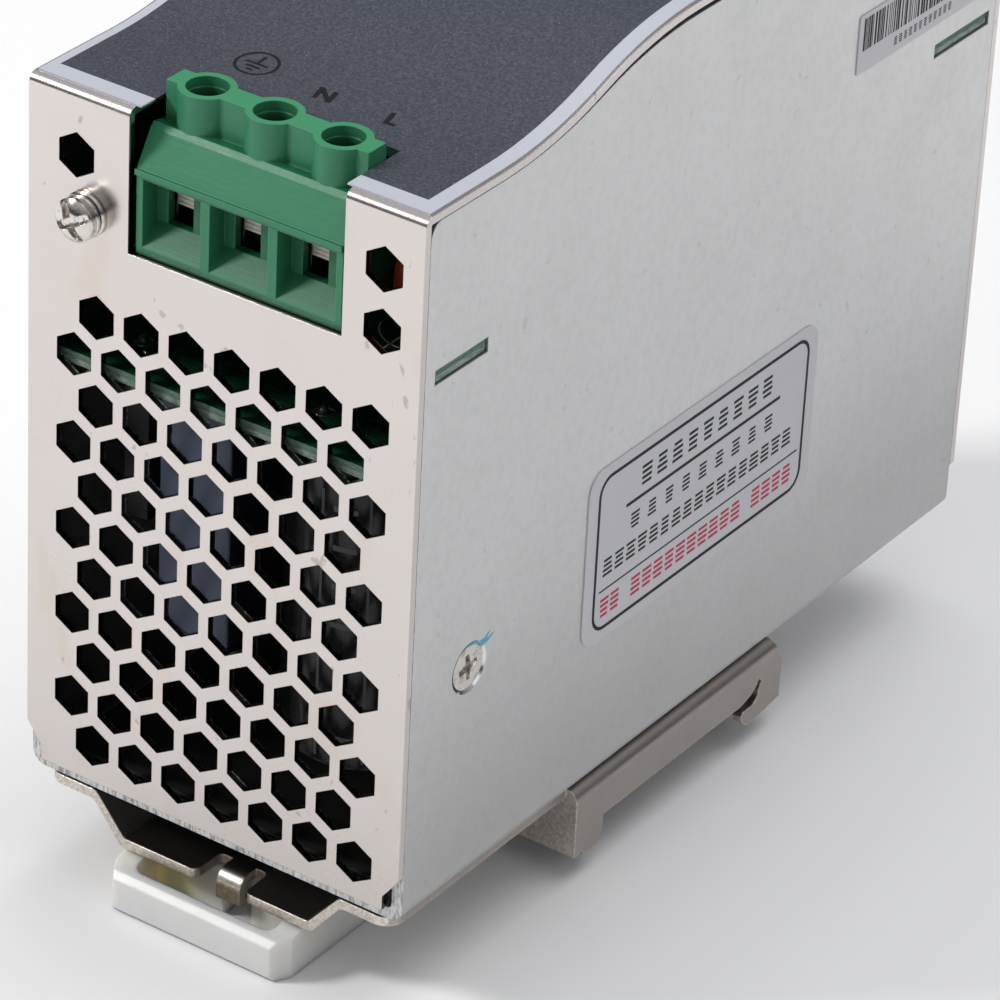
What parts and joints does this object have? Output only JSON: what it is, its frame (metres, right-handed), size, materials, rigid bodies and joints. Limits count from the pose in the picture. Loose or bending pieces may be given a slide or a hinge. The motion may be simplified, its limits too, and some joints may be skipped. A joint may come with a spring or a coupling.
{
  "type": "din rail power supply",
  "caption": "Slim sheet-metal power supply for a 35 mm rail, with hexagonal end vents, screw terminals at both ends, a raised front and a pull-down rail latch.",
  "frame": {"origin": "middle of the rail seat: case centre plane in x, middle of a 35 mm rail in y, plane of the rail's front lips in z", "axes": "+X right when facing the front with the input end towards the viewer, +Y from the input end to the output end, +Z out of the front, away from the rail"},
  "size_m": [0.0557, 0.1286, 0.1145],
  "materials": {
    "nickel_sheet": "satin nickel plate",
    "case_aluminium": "fine brushed",
    "bracket_steel": "nickel plate, darker",
    "front_film": "fine orange-peel texture",
    "label_film": "satin film",
    "fastener": "nickel plate",
    "spring_steel": "bright",
    "natural_nylon": "translucent, satin",
    "terminal_green": "satin moulding",
    "terminal_metal": "tin plate",
    "cage_steel": "dark zinc plate",
    "board_green": "solder mask",
    "brass_part": "turned",
    "pin_metal": "tin plate",
    "disc_brown": "dipped lacquer",
    "disc_black": "dipped lacquer",
    "disc_blue": "dipped lacquer",
    "fuse_ceramic": "satin, with plated caps",
    "box_blue_grey": "moulded box",
    "sleeve_black": "shrink sleeve",
    "moulding_black": "moulded package",
    "ferrite": "sintered",
    "powder_core": "coated ring",
    "enamel_wire": "enamelled copper",
    "winding_tape": "polyester tape",
    "heat_aluminium": "mill",
    "insulation_film": "black film",
    "lamp_green": "tinted lens",
    "adjuster_blue": "moulded",
    "adjuster_white": "moulded rotor",
    "nylon_black": "moulded"
  },
  "bodies": {
    "case": {"chassis": "case_aluminium", "cover": "nickel_sheet", "front_label": "front_film", "rating_label": "label_film", "code_label": "label_film", "rail_bracket": "bracket_steel", "bracket_spacers": "fastener", "bracket_rivets": "fastener", "latch_spring": "spring_steel", "earth_screw": "fastener", "earth_nut_washers": "fastener", "side_screws": "fastener", "terminal_board": "board_green", "power_board": "board_green", "board_spacers": "brass_part", "board_screws": "fastener", "board_link": "pin_metal", "input_terminal_body": "terminal_green", "output_terminal_body": "terminal_green", "pole_bars": "pin_metal", "varistor": "disc_brown", "fuse": "fuse_ceramic", "fuse_clips": "pin_metal", "thermistor": "disc_black", "choke_core": "ferrite", "choke_windings": "enamel_wire", "adjuster_body": "adjuster_blue", "status_lamp": "lamp_green", "film_capacitor": "box_blue_grey", "main_capacitor": "sleeve_black", "bridge_rectifier": "moulding_black", "input_heat_bar": "heat_aluminium", "output_heat_bar": "heat_aluminium", "switch_transistor": "moulding_black", "output_diode": "moulding_black", "transformer_core": "ferrite", "transformer_bobbin": "nylon_black", "transformer_winding": "winding_tape", "inductor_core": "powder_core", "inductor_winding": "enamel_wire", "output_capacitors": "sleeve_black", "y_capacitors": "disc_blue", "insulation_sheet": "insulation_film", "control_chips": "moulding_black"},
    "latch": {"latch_slider": "natural_nylon"},
    "adjuster": {"adjuster_rotor": "adjuster_white"},
    "input_clamp_screw_1": {"input_screw_1": "terminal_metal"},
    "input_clamp_cage_1": {"input_cage_1": "cage_steel"},
    "input_clamp_screw_2": {"input_screw_2": "terminal_metal"},
    "input_clamp_cage_2": {"input_cage_2": "cage_steel"},
    "input_clamp_screw_3": {"input_screw_3": "terminal_metal"},
    "input_clamp_cage_3": {"input_cage_3": "cage_steel"},
    "output_clamp_screw_1": {"output_screw_1": "terminal_metal"},
    "output_clamp_cage_1": {"output_cage_1": "cage_steel"},
    "output_clamp_screw_2": {"output_screw_2": "terminal_metal"},
    "output_clamp_cage_2": {"output_cage_2": "cage_steel"},
    "output_clamp_screw_3": {"output_screw_3": "terminal_metal"},
    "output_clamp_cage_3": {"output_cage_3": "cage_steel"},
    "output_clamp_screw_4": {"output_screw_4": "terminal_metal"},
    "output_clamp_cage_4": {"output_cage_4": "cage_steel"}
  },
  "joints": [
    {"name": "latch_pull", "type": "slide", "parent": "case", "child": "latch", "axis": [0, -1, 0], "range_m": [0, 0.005], "stiffness_N_per_m": 600, "springref_m": -0.005, "deforming": ["latch_spring"]},
    {"name": "voltage_adjust", "type": "hinge", "parent": "case", "child": "adjuster", "pos_m": [0.015, 0.0465, 0.0974], "axis": [0, 0, -1], "range_deg": [-135, 135]},
    {"name": "input_screw_turn_1", "type": "hinge", "parent": "case", "child": "input_clamp_screw_1", "pos_m": [-0.0077, -0.0544, 0.0964], "axis": [0, 0, -1], "range_deg": [0, 1800]},
    {"name": "input_cage_rise_1", "type": "slide", "parent": "case", "child": "input_clamp_cage_1", "axis": [0, 0, 1], "range_m": [0, 0.003]},
    {"name": "input_screw_turn_2", "type": "hinge", "parent": "case", "child": "input_clamp_screw_2", "pos_m": [0.0018, -0.0544, 0.0964], "axis": [0, 0, -1], "range_deg": [0, 1800]},
    {"name": "input_cage_rise_2", "type": "slide", "parent": "case", "child": "input_clamp_cage_2", "axis": [0, 0, 1], "range_m": [0, 0.003]},
    {"name": "input_screw_turn_3", "type": "hinge", "parent": "case", "child": "input_clamp_screw_3", "pos_m": [0.0113, -0.0544, 0.0964], "axis": [0, 0, -1], "range_deg": [0, 1800]},
    {"name": "input_cage_rise_3", "type": "slide", "parent": "case", "child": "input_clamp_cage_3", "axis": [0, 0, 1], "range_m": [0, 0.003]},
    {"name": "output_screw_turn_1", "type": "hinge", "parent": "case", "child": "output_clamp_screw_1", "pos_m": [0.01425, 0.0568, 0.0964], "axis": [0, 0, -1], "range_deg": [0, 1800]},
    {"name": "output_cage_rise_1", "type": "slide", "parent": "case", "child": "output_clamp_cage_1", "axis": [0, 0, 1], "range_m": [0, 0.003]},
    {"name": "output_screw_turn_2", "type": "hinge", "parent": "case", "child": "output_clamp_screw_2", "pos_m": [0.00475, 0.0568, 0.0964], "axis": [0, 0, -1], "range_deg": [0, 1800]},
    {"name": "output_cage_rise_2", "type": "slide", "parent": "case", "child": "output_clamp_cage_2", "axis": [0, 0, 1], "range_m": [0, 0.003]},
    {"name": "output_screw_turn_3", "type": "hinge", "parent": "case", "child": "output_clamp_screw_3", "pos_m": [-0.00475, 0.0568, 0.0964], "axis": [0, 0, -1], "range_deg": [0, 1800]},
    {"name": "output_cage_rise_3", "type": "slide", "parent": "case", "child": "output_clamp_cage_3", "axis": [0, 0, 1], "range_m": [0, 0.003]},
    {"name": "output_screw_turn_4", "type": "hinge", "parent": "case", "child": "output_clamp_screw_4", "pos_m": [-0.01425, 0.0568, 0.0964], "axis": [0, 0, -1], "range_deg": [0, 1800]},
    {"name": "output_cage_rise_4", "type": "slide", "parent": "case", "child": "output_clamp_cage_4", "axis": [0, 0, 1], "range_m": [0, 0.003]}
  ],
  "couplings": [
    {"joint": "input_screw_turn_1", "follows": "input_cage_rise_1", "rad_per_m": 10472},
    {"joint": "input_screw_turn_2", "follows": "input_cage_rise_2", "rad_per_m": 10472},
    {"joint": "input_screw_turn_3", "follows": "input_cage_rise_3", "rad_per_m": 10472},
    {"joint": "output_screw_turn_1", "follows": "output_cage_rise_1", "rad_per_m": 10472},
    {"joint": "output_screw_turn_2", "follows": "output_cage_rise_2", "rad_per_m": 10472},
    {"joint": "output_screw_turn_3", "follows": "output_cage_rise_3", "rad_per_m": 10472},
    {"joint": "output_screw_turn_4", "follows": "output_cage_rise_4", "rad_per_m": 10472}
  ]
}
